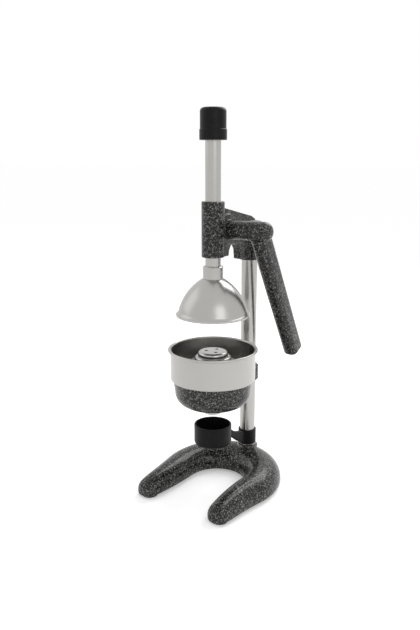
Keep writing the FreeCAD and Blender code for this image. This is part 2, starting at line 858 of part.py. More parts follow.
def make_lever_grub():
    """Grub screw that holds the lever's hub on the shaft."""
    length = size.lever_hub_diameter / 2 - shaft_radius - size.grub_sink
    screw = grub_screw("lever_set_screw", length)
    turn = number_of(size.lever_lean)
    start = number_of(shaft_radius) + number_of(size.fixed_gap)
    across = FreeCAD.Rotation(FreeCAD.Vector(1, 0, 0), turn - 90)
    base = FreeCAD.Vector(
        number_of(lever_hub_start + size.lever_thickness / 2),
        number_of(pinion_setback) + start * math.cos(math.radians(turn)),
        number_of(size.pinion_height) + start * math.sin(math.radians(turn)))
    screw.Placement = FreeCAD.Placement(base, across)


# Head casting and what it carries

def make_head_casting():
    """Casting that joins guide tube, gear housing, shaft barrel and column socket."""
    body = new_body("head_casting")
    column = size.column_setback
    pinion = size.pinion_height
    socket_radius = size.socket_diameter / 2
    arch_back = size.arch_front + size.arch_width
    arch_crown = pinion - size.arch_below_pinion - size.arch_crown_radius
    web = new_sketch(body, "head_web_outline", "YZ_Plane")
    draw_outline(web, [
        (0.0, guide_bottom + overrun), (size.arch_front, guide_bottom),
        (size.arch_front + size.arch_slope, arch_crown),
        (arch_back - size.arch_slope, arch_crown, size.arch_crown_radius, "right"),
        (arch_back, socket_bottom + size.web_socket_rise),
        (column, socket_bottom + size.web_socket_rise),
        (column + socket_radius - size.web_back_inset, pinion - size.web_back_drop),
        (size.web_back, pinion + size.web_back_rise),
        (0.0, guide_top - size.web_below_guide_top)])
    slab = add_pad(body, "head_web", web, size.web_thickness, symmetric=True)
    lowest = number_of(pinion - size.web_back_drop)
    back = number_of(size.web_back)

    def crown_edge(edge):
        box = edge.BoundBox
        return box.XLength > SAME_PLACE and abs(box.YMin - back) < SAME_PLACE \
            and box.ZMin > lowest + SAME_PLACE

    def upper_rim(edge):
        box = edge.BoundBox
        return box.XLength < SAME_PLACE and box.ZMin > lowest - SAME_PLACE \
            and box.YLength > SAME_PLACE

    crown = add_round(body, "head_web_crown", slab, size.web_crown_radius, crown_edge)
    add_round(body, "head_web_rim", crown, size.web_edge_round, upper_rim)
    add_rod(body, "column_socket", "XY_Plane", 0.0, column, socket_radius, socket_bottom,
            size.socket_length)
    add_rod(body, "guide_tube", "XY_Plane", 0.0, 0.0, size.guide_diameter / 2,
            guide_bottom, guide_length)
    add_rod(body, "shaft_barrel", "YZ_Plane", pinion_setback, pinion,
            size.barrel_diameter / 2, -size.barrel_boss_end,
            size.barrel_boss_end + size.barrel_end)
    add_bore(body, "guide_hole", "XY_Plane", 0.0, 0.0, size.guide_bore / 2,
             guide_bottom - overrun, guide_length + overrun * 2)
    add_bore(body, "column_hole", "XY_Plane", 0.0, column, column_radius + size.fixed_gap,
             socket_bottom - overrun, column_top - socket_bottom + overrun)
    add_bore(body, "shaft_hole", "YZ_Plane", pinion_setback, pinion,
             size.bush_diameter / 2, -size.barrel_boss_end - overrun,
             size.barrel_boss_end + size.barrel_end + overrun * 2)
    # The gear drops into its housing from below, through a slot between two cheeks
    room = gear_tip_radius + size.gear_room
    slot_bottom = guide_bottom - overrun * 2
    slot = new_sketch(body, "gear_slot_outline", "YZ_Plane")
    draw_outline(slot, [
        (pinion_setback - room, pinion), (pinion_setback - room, slot_bottom),
        (pinion_setback + room, slot_bottom), (pinion_setback + room, pinion)])
    add_pocket(body, "gear_slot", slot, size.cheek_gap, symmetric=True)
    add_bore(body, "gear_housing", "YZ_Plane", pinion_setback, pinion, room,
             -(size.cheek_gap / 2), size.cheek_gap)
    add_bore(body, "head_grub_hole", "XZ_Plane", 0.0, socket_bottom + size.head_grub_rise,
             size.grub_diameter / 2, -(column + size.socket_diameter), size.socket_diameter)


def make_guide_bush(label, low):
    """Bronze bush that guides the plunger rod."""
    inner = rod_radius + size.running_gap
    outer = size.guide_bore / 2 - size.fixed_gap
    body = turned_body(label, [
        (inner, 0.0), (outer, 0.0), (outer, size.guide_bush_length),
        (inner, size.guide_bush_length)])
    place(body, z=low)


def make_back_grub(label, height, outer_radius):
    """Grub screw from the back that clamps a socket on the column."""
    screw = grub_screw(label, outer_radius - column_radius - size.grub_sink)
    place(screw, y=size.column_setback + column_radius + size.fixed_gap, z=height,
          axis=(1, 0, 0), angle=-90)


# Column and its fixing

def make_column():
    """Steel tube with a threaded plug in its foot."""
    inner = column_radius - size.column_wall
    tube = turned_body("column_tube", [
        (inner, column_bottom), (column_radius, column_bottom),
        (column_radius, column_top - seat), (inner, column_top - seat)])
    place(tube, y=size.column_setback)
    plug = washer("column_plug", size.bolt_diameter / 2, inner - size.fixed_gap,
                  size.plug_length)
    place(plug, y=size.column_setback, z=column_bottom)


def make_base_bolt():
    """Hexagon bolt and washer that pull the column down on the base."""
    ring = washer("base_washer", size.bolt_diameter / 2 + size.fixed_gap,
                  size.washer_diameter / 2, size.washer_thickness)
    washer_bottom = size.bolt_seat_height - size.fixed_gap - size.washer_thickness
    place(ring, y=size.column_setback, z=washer_bottom)
    bolt = new_body("base_bolt")
    head = new_sketch(bolt, "base_bolt_hexagon", "XY_Plane", -size.bolt_head_height)
    draw_outline(head, hexagon(size.bolt_head_across))
    add_pad(bolt, "base_bolt_head", head, size.bolt_head_height)
    length = column_bottom + size.plug_length - washer_bottom - size.bolt_end_room
    add_rod(bolt, "base_bolt_shank", "XY_Plane", 0.0, 0.0,
            size.bolt_diameter / 2 - size.fixed_gap, -overrun, length + overrun)
    place(bolt, y=size.column_setback, z=washer_bottom - size.fixed_gap)


def make_foot_ring():
    """Bright stepped ring where the column meets the base."""
    inner = column_radius + size.fixed_gap
    low = ring_seat_height + size.fixed_gap
    step = ring_seat_height + size.foot_ring_flange
    rim = size.foot_ring_edge
    outer = size.foot_ring_diameter / 2
    neck = size.foot_ring_neck / 2
    ring = turned_body("column_foot_ring", [
        (inner, low), (outer, low), (outer, step - rim), (outer - rim, step), (neck, step),
        (neck, foot_ring_top - rim), (neck - rim, foot_ring_top), (inner, foot_ring_top)])
    place(ring, y=size.column_setback)


# Base casting

def base_section(inner_point, outward, width, height, low):
    """Draw an upright-sided, round-topped section of a leg from its inner edge outwards."""
    up = FreeCAD.Vector(0, 0, 1)
    skirt = number_of(size.base_skirt)
    low_in = inner_point + up * low
    low_out = low_in + outward * width
    high_in = inner_point + up * skirt
    high_out = high_in + outward * width
    centre = (high_in + high_out) / 2
    top = centre + up * (height - skirt)
    if width / 2 > height - skirt:
        crown = Part.ArcOfEllipse(Part.Ellipse(high_out, top, centre), 0, math.pi)
    else:
        crown = Part.ArcOfEllipse(
            Part.Ellipse(top, high_in, centre), -math.pi / 2, math.pi / 2)
    crown_edge = crown.toShape()
    ends = sorted([crown_edge.Vertexes[0].Point, crown_edge.Vertexes[-1].Point],
                  key=lambda point: (point - high_out).Length)
    return Part.Wire(Part.__sortEdges__([
        Part.makeLine(low_in, low_out), Part.makeLine(low_out, ends[0]),
        crown_edge, Part.makeLine(ends[1], low_in)]))


def base_stations():
    """List the sections of the right leg from toe to the middle of the back.

    Each is (point on the inner edge, outward direction, width, height).
    """
    gap = number_of(size.leg_gap) / 2
    flare = number_of(size.leg_flare)
    bend_y = number_of(size.leg_round_setback)
    toe_y = -number_of(size.toe_setback)
    straight = [
        (0.0, size.toe_width, size.toe_height),
        (number_of(size.shin_share), size.shin_width, size.shin_height),
        (number_of(size.thigh_share), size.thigh_width, size.thigh_height),
        (1.0, size.hip_width, size.hip_height)]
    turned = [
        (number_of(size.quarter_turn), size.quarter_width, size.quarter_height),
        (number_of(size.haunch_turn), size.haunch_width, size.haunch_height),
        (90.0, size.rear_width, size.rear_height)]
    stations = []
    for share, width, height in straight:
        inner = FreeCAD.Vector(gap + flare * (1 - share) ** 2, toe_y + (bend_y - toe_y) * share, 0)
        stations.append((inner, FreeCAD.Vector(1, 0, 0), number_of(width), number_of(height)))
    for degrees, width, height in turned:
        turn = math.radians(degrees)
        outward = FreeCAD.Vector(math.cos(turn), math.sin(turn), 0)
        inner = FreeCAD.Vector(0, bend_y, 0) + outward * gap
        stations.append((inner, outward, number_of(width), number_of(height)))
    return stations


def mirrored_stations(stations):
    """Add the left leg's sections after the right leg's, back to front."""
    flipped = []
    for inner, outward, width, height in reversed(stations[:-1]):
        flipped.append((FreeCAD.Vector(-inner.x, inner.y, inner.z),
                        FreeCAD.Vector(-outward.x, outward.y, outward.z), width, height))
    return stations + flipped


def base_loft(stations, inset, low):
    """Skin the horseshoe through its sections, drawn in by an inset."""
    wires = []
    for inner, outward, width, height in mirrored_stations(stations):
        wires.append(base_section(
            inner + outward * inset, outward, width - 2 * inset, height - inset, low))
    return Part.makeLoft(wires, True, False)


def toe_nose(station, low):
    """Round off the front of a leg by turning half of its first section."""
    inner, outward, width, height = station
    turn = -180 if outward.x > 0 else 180
    up = FreeCAD.Vector(0, 0, 1)
    skirt = number_of(size.base_skirt)
    axis = inner + outward * (width / 2)
    reach = outward * (width / 2)
    centre = axis + up * skirt
    top = axis + up * height
    if width / 2 > height - skirt:
        curve = Part.ArcOfEllipse(Part.Ellipse(centre + reach, top, centre), 0, math.pi / 2)
    else:
        curve = Part.ArcOfEllipse(Part.Ellipse(top, centre + reach, centre), 0, math.pi / 2)
    face = Part.Face(Part.Wire(Part.__sortEdges__([
        Part.makeLine(axis + up * low, axis + reach + up * low),
        Part.makeLine(axis + reach + up * low, centre + reach),
        curve.toShape(), Part.makeLine(top, axis + up * low)])))
    return face.revolve(axis, up, turn)


def pad_places():
    """Give the four rubber pads' names and centres."""
    toe_x = number_of(size.leg_gap / 2 + size.leg_flare + size.toe_width / 2)
    toe_y = -number_of(size.toe_setback)
    turn = math.radians(number_of(size.rear_pad_angle))
    reach = number_of(size.rear_pad_radius)
    rear_x = reach * math.cos(turn)
    rear_y = number_of(size.leg_round_setback) + reach * math.sin(turn)
    return {
        "foot_pad_front_left": (-toe_x, toe_y), "foot_pad_front_right": (toe_x, toe_y),
        "foot_pad_rear_left": (-rear_x, rear_y), "foot_pad_rear_right": (rear_x, rear_y)}


def upright_cylinder(x, y, radius, low, high):
    """Give a cylinder that stands upright between two heights."""
    return Part.makeCylinder(number_of(radius), number_of(high) - number_of(low),
                             FreeCAD.Vector(number_of(x), number_of(y), number_of(low)))


def make_base_casting():
    """Horseshoe casting with rounded legs, hollow below, bored for the column."""
    stations = base_stations()
    floor = number_of(size.pad_lift)
    wall = number_of(size.base_wall)
    column = size.column_setback
    over = size.rear_height + size.base_wall
    # The skins start below the floor of the casting and are then cut off level
    low = floor - wall
    outer = base_loft(stations, 0.0, low)
    noses = [toe_nose(stations[0], low), toe_nose(mirrored_stations(stations)[-1], low)]
    boss = upright_cylinder(0.0, column, size.base_boss_diameter / 2, low, ring_seat_height)
    casting = outer.fuse(noses + [boss])
    hollow = base_loft(stations[1:], wall, low - wall)
    cores = [upright_cylinder(0.0, column, size.base_boss_diameter / 2, low - wall, over)]
    for x, y in pad_places().values():
        cores.append(upright_cylinder(
            x, y, size.pad_diameter / 2 + size.pad_boss_wall, low - wall, over))
    casting = casting.cut(hollow.cut(cores))
    reach = number_of(size.column_setback * 2)
    ground = Part.makeBox(2 * reach, 2 * reach, reach,
                          FreeCAD.Vector(-reach, -reach, floor - reach))
    casting = casting.cut(ground)
    cuts = [
        upright_cylinder(0.0, column, column_radius + size.fixed_gap, column_bottom, over),
        upright_cylinder(0.0, column, size.foot_ring_diameter / 2 + size.foot_ring_room,
                         ring_seat_height, over),
        upright_cylinder(0.0, column, size.bolt_diameter / 2 + size.bolt_hole_room, 0.0, over),
        upright_cylinder(0.0, column, size.washer_diameter / 2 + size.washer_room, 0.0,
                         size.bolt_seat_height)]
    for x, y in pad_places().values():
        stem_top = size.pad_height + size.pad_stem_length + size.pad_room
        cuts.append(upright_cylinder(
            x, y, size.pad_stem_diameter / 2 + size.fixed_gap, 0.0, stem_top))
        cuts.append(upright_cylinder(
            x, y, size.pad_diameter / 2 + size.pad_room, 0.0, size.pad_height + size.fixed_gap))
    for cut in cuts:
        before = casting.Volume
        casting = casting.cut(cut)
        if not casting.Volume < before:
            raise RuntimeError("a hole in the base cuts nothing")
    base = keep(doc.addObject("Part::Feature", "base_casting"), "base_casting")
    base.Shape = casting.Solids[0]


def make_foot_pads():
    """Rubber pads pressed into the underside of the base."""
    radius = size.pad_diameter / 2
    stem = size.pad_stem_diameter / 2
    stem_top = size.pad_height + size.pad_stem_length
    for label, (x, y) in pad_places().items():
        pad = turned_body(label, [
            (0.0, 0.0), (radius - edge, 0.0), (radius, edge, edge, "left"),
            (radius, size.pad_height), (stem, size.pad_height), (stem, stem_top),
            (0.0, stem_top)])
        place(pad, x=x, y=y)


# Bowls, cup and strainer

def make_cup_holder():
    """Cast bowl with an arm and a collar that clamps on the column."""
    wall = size.holder_wall
    lower = size.holder_lower_radius
    corner = size.holder_round
    bottom = size.holder_bottom
    body = new_body("cup_holder")
    add_turned(body, "holder_bowl", [
        (size.holder_hole_radius, bottom), (lower - corner, bottom),
        (lower, bottom + corner, corner, "left"), (size.holder_radius, holder_top),
        (holder_inner_radius, holder_top), (lower - wall, bottom + corner),
        (lower - corner, bottom + wall, corner - wall, "right"),
        (size.holder_hole_radius, bottom + wall)])
    column = size.column_setback
    arm_bottom = bottom + size.holder_arm_rise
    arm_top = arm_bottom + size.holder_arm_depth
    arm = new_sketch(body, "holder_arm_outline", "YZ_Plane")
    start = lower - wall / 2
    draw_outline(arm, [
        (start, arm_bottom), (column, arm_bottom + size.holder_arm_taper),
        (column, arm_top - size.holder_arm_taper), (start, arm_top)])
    add_pad(body, "holder_arm", arm, size.holder_arm_thickness, symmetric=True)
    ring = add_rod(body, "holder_collar", "XY_Plane", 0.0, column, holder_collar_radius,
                   holder_collar_bottom, size.holder_collar_length)
    doc.recompute()
    wide = 2 * number_of(holder_collar_radius)
    front = number_of(column - holder_collar_radius)
    rims = [f"Edge{index}" for index, rim in enumerate(ring.Shape.Edges, start=1)
            if rim.BoundBox.ZLength < SAME_PLACE
            and rim.BoundBox.YMin > front - SAME_PLACE
            and abs(rim.BoundBox.XLength - wide) < SAME_PLACE]
    if len(rims) != 2:
        raise RuntimeError(f"the collar has {len(rims)} rims")
    bevel = body.newObject("PartDesign::Chamfer", "holder_collar_bevel")
    bevel.Base = (ring, rims)
    bevel.Size = number_of(size.holder_collar_chamfer)
    tie(bevel, "Size", size.holder_collar_chamfer)
    add_bore(body, "holder_column_hole", "XY_Plane", 0.0, column,
             column_radius + size.fixed_gap, holder_collar_bottom - overrun,
             size.holder_collar_length + overrun * 2)
    add_bore(body, "holder_grub_hole", "XZ_Plane", 0.0, bottom + size.holder_grub_rise,
             size.grub_diameter / 2, -(column + holder_collar_radius * 2),
             holder_collar_radius * 2)


def make_juice_cup():
    """Spun steel cup with a rolled rim, a funnel floor and a spout."""
    sheet = size.cup_sheet
    corner = size.cup_corner
    low = cup_floor_edge
    funnel_top = low - size.cup_skirt_depth
    wall_in = size.cup_radius - sheet
    skirt = holder_inner_radius - size.cup_skirt_gap
    bead = size.cup_rim_bead
    bead_z = cup_rim_top - bead
    hole = size.spout_radius + size.fixed_gap
    body = new_body("juice_cup")
    add_turned(body, "cup_shell", [
        (hole, spout_top), (skirt - size.cup_skirt_slope, funnel_top), (skirt, low),
        (size.cup_radius - corner, low), (size.cup_radius, low + corner, corner, "left"),
        (size.cup_radius, bead_z), (wall_in, bead_z),
        (wall_in, low + corner + sheet), (wall_in - corner, low + sheet, corner, "right"),
        (skirt - sheet, low + sheet), (skirt - size.cup_skirt_slope - sheet, funnel_top + sheet),
        (hole, spout_top + sheet)])
    rim = new_sketch(body, "cup_rim_circle", "XZ_Plane")
    draw_circle(rim, size.cup_radius + size.cup_rim_reach - bead, bead_z, bead)
    roll = body.newObject("PartDesign::Revolution", "cup_rim")
    roll.Profile = rim
    roll.ReferenceAxis = (rim, ["V_Axis"])
    roll.Angle = 360


def make_cup_spout():
    """Straight spout welded into the middle of the cup's funnel."""
    inner = size.spout_radius - size.cup_sheet
    tube = washer("cup_spout", inner, size.spout_radius, size.spout_length)
    place(tube, z=spout_top + size.cup_sheet - size.spout_length)


def make_strainer_plate():
    """Perforated ring that lies on the cup's ledge and carries the cone."""
    sheet = size.cup_sheet
    ledge = cup_floor_edge + sheet + seat
    body = washer("strainer_plate", size.cone_step_radius, size.cone_flange_radius, sheet)
    ring_of_holes(body, "strainer_ring", size.strainer_hole_diameter,
                  size.strainer_hole_circle, size.strainer_holes, -overrun, sheet + overrun * 2)
    place(body, z=ledge)


def make_strainer_cone():
    """Stepped reamer dome with a narrow foot on the strainer plate."""
    sheet = size.cup_sheet
    shoulder = size.cone_shoulder_radius - size.cone_flat_radius
    foot = cup_floor_edge + sheet + seat + sheet + size.fixed_gap
    skirt = foot + size.cone_skirt_rise
    step = skirt + size.cone_step_rise
    bead = step + size.cone_bead_rise
    neck = bead + size.cone_neck_rise
    top = neck + size.cone_top_rise
    corner = size.cone_step_round
    body = new_body("strainer_cone")
    add_turned(body, "cone_shell", [
        (0.0, top), (0.0, top - sheet), (size.cone_flat_radius, top - sheet),
        (size.cone_shoulder_radius - sheet, top - shoulder, shoulder - sheet, "right"),
        (size.cone_shoulder_radius - sheet, bead - sheet),
        (size.cone_step_radius - sheet, step - sheet),
        (size.cone_step_radius - sheet, skirt),
        (size.cone_skirt_radius - sheet, foot), (size.cone_foot_radius, foot),
        (size.cone_foot_radius, foot + sheet), (size.cone_skirt_radius, foot + sheet),
        (size.cone_step_radius, skirt + sheet),
        (size.cone_step_radius, step - corner),
        (size.cone_step_radius - corner, step, corner, "left"),
        (size.cone_bead_radius - size.cone_bead_slope, step + size.cone_bead_slope),
        (size.cone_bead_radius - size.cone_bead_slope, bead),
        (size.cone_shoulder_radius, neck, size.cone_neck_round, "left"),
        (size.cone_shoulder_radius, top - shoulder),
        (size.cone_flat_radius, top, shoulder, "left")])
    ring_of_holes(body, "cone_drain_holes", size.cone_hole_diameter, size.cone_hole_circle,
                  size.cone_holes, top - sheet - overrun, sheet + overrun * 2)


def make_drip_cup():
    """Black plastic drip cup on an arm that swings round the column."""
    outer = size.drip_diameter / 2
    wall = size.drip_wall
    corner = size.drip_corner
    rim = size.drip_rim_round
    low = size.drip_bottom
    column = size.column_setback
    collar_low = foot_ring_top + seat
    collar_radius = column_radius + size.running_gap + size.drip_collar_wall
    body = new_body("drip_cup")
    add_turned(body, "drip_bowl", [
        (0.0, low), (outer - corner, low), (outer, low + corner, corner, "left"),
        (outer, drip_top - rim), (outer - rim, drip_top, rim, "left"),
        (outer - wall, drip_top), (outer - wall, low + corner),
        (outer - corner, low + wall, corner - wall, "right"), (0.0, low + wall)])
    arm = new_sketch(body, "drip_arm_outline", "YZ_Plane")
    start = outer - wall / 2
    back = column - column_radius - edge
    knee = start + size.drip_arm_knee_length
    knee_top = drip_collar_top + size.drip_arm_knee_rise
    draw_outline(arm, [
        (start, low + size.drip_arm_low),
        (knee - size.drip_arm_heel, knee_top - edge),
        (knee, knee_top - size.drip_arm_knee_depth),
        (back, collar_low + edge), (back, drip_collar_top - edge), (knee, knee_top),
        (start, drip_top - size.drip_arm_drop, size.drip_arm_curve, "right")])
    add_pad(body, "drip_arm", arm, size.drip_arm_thickness, symmetric=True)
    add_rod(body, "drip_collar", "XY_Plane", 0.0, column, collar_radius, collar_low,
            drip_collar_top - collar_low)
    add_bore(body, "drip_collar_hole", "XY_Plane", 0.0, column,
             column_radius + size.running_gap, collar_low - overrun,
             drip_collar_top - collar_low + overrun * 2)


# Assembly, checks and files

def build_press():
    """Build every sub-part."""
    make_base_casting()
    make_foot_pads()
    make_column()
    make_base_bolt()
    make_foot_ring()
    make_head_casting()
    make_guide_bush("guide_bush_lower", guide_bottom)
    make_guide_bush("guide_bush_upper", guide_top - size.guide_bush_length)
    make_back_grub("head_set_screw", socket_bottom + size.head_grub_rise,
                   size.socket_diameter / 2)
    make_plunger_rack()
    make_plunger_cap()
    make_dome_collar()
    make_pressing_dome()
    make_dome_fixing()
    make_pinion_gear()
    make_pinion_shaft()
    make_pinion_key()
    cheek = size.cheek_gap / 2
    make_shaft_bush("shaft_bush_left", -size.barrel_boss_end, -cheek)
    make_shaft_bush("shaft_bush_right", cheek, size.barrel_end)
    make_shaft_ring()
    make_lever()
    make_lever_grub()
    make_cup_holder()
    make_back_grub("holder_set_screw", size.holder_bottom + size.holder_grub_rise,
                   holder_collar_radius)
    make_juice_cup()
    make_cup_spout()
    make_strainer_plate()
    make_strainer_cone()
    make_drip_cup()


def check_document():
    """Stop if any object failed or any sub-part is empty or broken."""
    for item in doc.Objects:
        if "Invalid" in item.State or "Error" in item.State:
            raise RuntimeError(f"{item.Label} failed: {item.State}")
    for label, part in sub_parts.items():
        if part.Shape.isNull() or not part.Shape.isValid():
            raise RuntimeError(f"{label} has a broken shape")
        if len(part.Shape.Solids) != 1:
            raise RuntimeError(f"{label} has {len(part.Shape.Solids)} solids")


def move_to_table_centre():
    """Move the press so that the origin lies under its middle, on the table."""
    box = FreeCAD.BoundBox()
    for part in sub_parts.values():
        box.add(part.Shape.optimalBoundingBox(False))
    shift = FreeCAD.Vector(-box.Center.x, -box.Center.y, -box.ZMin)
    for part in sub_parts.values():
        for path in (".Placement.Base.x", ".Placement.Base.y", ".Placement.Base.z"):
            part.setExpression(path, None)
        part.Placement.Base = part.Placement.Base + shift
    print(f"moved by {shift.x:.4f} {shift.y:.4f} {shift.z:.4f}")
    print(f"size {box.XLength:.2f} {box.YLength:.2f} {box.ZLength:.2f}")


def write_parts():
    """Write one file for each sub-part."""
    os.makedirs(PARTS_FOLDER, exist_ok=True)
    for label, part in sub_parts.items():
        part.Shape.exportStep(os.path.join(PARTS_FOLDER, f"{label}.step"))


build_press()
doc.recompute()
check_document()
move_to_table_centre()
check_document()
write_parts()
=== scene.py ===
"""Looks for the lever citrus juice press: finishes, fine pieces and the studio."""
import json
import logging
import math
from dataclasses import dataclass
from enum import Enum

import bmesh
import bpy
from mathutils import Matrix, Vector


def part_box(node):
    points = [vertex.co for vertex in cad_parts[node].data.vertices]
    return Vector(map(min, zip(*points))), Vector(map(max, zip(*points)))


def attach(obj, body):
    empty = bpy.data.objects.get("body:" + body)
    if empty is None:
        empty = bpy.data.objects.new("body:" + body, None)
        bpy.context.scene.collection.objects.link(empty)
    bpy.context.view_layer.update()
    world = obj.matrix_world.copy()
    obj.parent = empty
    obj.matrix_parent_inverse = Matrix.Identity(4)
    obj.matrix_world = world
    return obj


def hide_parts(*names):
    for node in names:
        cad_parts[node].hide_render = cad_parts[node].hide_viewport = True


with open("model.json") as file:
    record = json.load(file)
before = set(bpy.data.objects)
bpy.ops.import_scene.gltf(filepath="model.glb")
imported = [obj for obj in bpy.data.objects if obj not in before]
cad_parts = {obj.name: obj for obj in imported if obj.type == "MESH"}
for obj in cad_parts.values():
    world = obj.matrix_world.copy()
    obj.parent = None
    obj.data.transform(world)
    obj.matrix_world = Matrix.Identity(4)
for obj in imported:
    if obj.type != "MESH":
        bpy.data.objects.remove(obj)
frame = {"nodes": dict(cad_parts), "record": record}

log = logging.getLogger("juice_press")

Colour = tuple[float, float, float]
Point = tuple[float, float, float]
MILLIMETRES_IN_METRE = 1000.0
ROUND_BAR_SIDES = 96
SENSOR_WIDTH = 36.0
# The camera's place, in metres from the foot of the plunger's axis
CAMERA_FROM_AXIS: Point = (0.4944, -0.6917, 0.4517)


@dataclass(frozen=True)
class Wire:
    """A value on its way through a shader, open to arithmetic."""

    shader: "Shader"
    socket: bpy.types.NodeSocket

    def __add__(self, other: "Wire | float") -> "Wire":
        """Add two values."""
        return self.shader.maths("ADD", self, other)

    __radd__ = __add__

    def __mul__(self, other: "Wire | float") -> "Wire":
        """Multiply two values."""
        return self.shader.maths("MULTIPLY", self, other)

    __rmul__ = __mul__


class Shader:
    """A material, or the room's light, being built from nodes."""

    def __init__(self, name: str, room: bpy.types.World | None = None) -> None:
        """Start an empty node tree.

        Args:
            name: The material's name.
            room: The world to use instead of a new material.
        """
        self.material = room or bpy.data.materials.new(name)
        self.material.use_nodes = True
        self.tree = self.material.node_tree
        self.tree.nodes.clear()

    def node(self, kind: str, settings: dict[str, object] | None = None,
             inputs: dict[str | int, object] | None = None) -> bpy.types.Node:
        """Add one node.

        Args:
            kind: The node's type.
            settings: Properties that are set before the sockets.
            inputs: Values or wires, by socket name or number.

        Returns:
            The new node.
        """
        made = self.tree.nodes.new(kind)
        for name, value in (settings or {}).items():
            setattr(made, name, value)
        for key, value in (inputs or {}).items():
            if isinstance(value, Wire):
                self.tree.links.new(value.socket, made.inputs[key])
            else:
                made.inputs[key].default_value = value
        return made

    def wire(self, node: bpy.types.Node, output: str | int = 0) -> Wire:
        """Take one output of a node as a wire."""
        return Wire(self, node.outputs[output])

    def maths(self, operation: str, first: Wire | float, second: Wire | float) -> Wire:
        """Add one Math node.

        Args:
            operation: The node's operation.
            first: The first value.
            second: The second value.

        Returns:
            The result.
        """
        return self.wire(self.node("ShaderNodeMath", {"operation": operation},
                                   {0: first, 1: second}))

    def mix(self, factor: Wire | float, first: Wire | Colour, second: Wire | Colour) -> Wire:
        """Mix two colours.

        Args:
            factor: 0 for the first colour, 1 for the second.
            first: The first colour.
            second: The second colour.

        Returns:
            The mixed colour.
        """
        colours = [value if isinstance(value, Wire) else (*value, 1.0)
                   for value in (first, second)]
        made = self.node("ShaderNodeMix", {"data_type": "RGBA"},
                         {0: factor, 6: colours[0], 7: colours[1]})
        return self.wire(made, 2)

    def place(self) -> Wire:
        """Give the place on the object, in metres."""
        return self.wire(self.node("ShaderNodeTexCoord"), "Object")

    def stretched(self, place: Wire, scale: Point) -> Wire:
        """Scale a place by a factor for each direction."""
        return self.wire(self.node("ShaderNodeMapping", None, {"Vector": place, "Scale": scale}))

    def noise(self, place: Wire, size: float, detail: float = 2.0,
              roughness: float = 0.5) -> Wire:
        """Give soft noise from 0 to 1.

        Args:
            place: Where on the object.
            size: The size of its blots in the place's unit.
            detail: How many finer layers it has.
            roughness: How strong the finer layers are.

        Returns:
            The noise value.
        """
        made = self.node("ShaderNodeTexNoise", None, {
            "Vector": place, "Scale": 1.0 / size, "Detail": detail, "Roughness": roughness})
        return self.wire(made, "Fac")

    def step(self, value: Wire, low: float, high: float) -> Wire:
        """Turn a value into a soft mask between two levels."""
        return self.wire(self.node("ShaderNodeMapRange", {"interpolation_type": "SMOOTHSTEP"},
                                   {"Value": value, "From Min": low, "From Max": high}))

    def level(self, value: Wire, low: float, high: float) -> Wire:
        """Stretch a value from 0 to 1 over a range of results."""
        return self.wire(self.node("ShaderNodeMapRange", None,
                                   {"Value": value, "To Min": low, "To Max": high}))

    def bump(self, height: Wire, strength: float, depth: float) -> Wire:
        """Turn a height into a surface normal.

        Args:
            height: The height, from 0 to 1.
            strength: How much of it is used.
            depth: The real depth in metres.

        Returns:
            The normal.
        """
        made = self.node("ShaderNodeBump", None,
                         {"Height": height, "Strength": strength, "Distance": depth})
        return self.wire(made, "Normal")

    def finish(self, inputs: dict[str | int, object]) -> bpy.types.Material:
        """Close the material with one surface shader.

        Args:
            inputs: The surface shader's values and wires.

        Returns:
            The finished material.
        """
        self.output(self.node("ShaderNodeBsdfPrincipled", None, inputs))
        return self.material

    def seen_as_background(self) -> Wire:
        """Give 1 to the camera, to metal and to glass, and 0 to the light on the press.

        Returns:
            The mask.
        """
        path = self.node("ShaderNodeLightPath")
        camera, glossy, glass = (self.wire(path, name) for name in (
            "Is Camera Ray", "Is Glossy Ray", "Is Transmission Ray"))
        return self.maths("MAXIMUM", self.maths("MAXIMUM", camera, glossy), glass)

    def output(self, surface: bpy.types.Node) -> None:
        """Send a surface or background shader to the output.

        Args:
            surface: The last shader node.
        """
        room = isinstance(self.material, bpy.types.World)
        kind = "ShaderNodeOutputWorld" if room else "ShaderNodeOutputMaterial"
        self.tree.links.new(surface.outputs[0], self.node(kind).inputs[0])


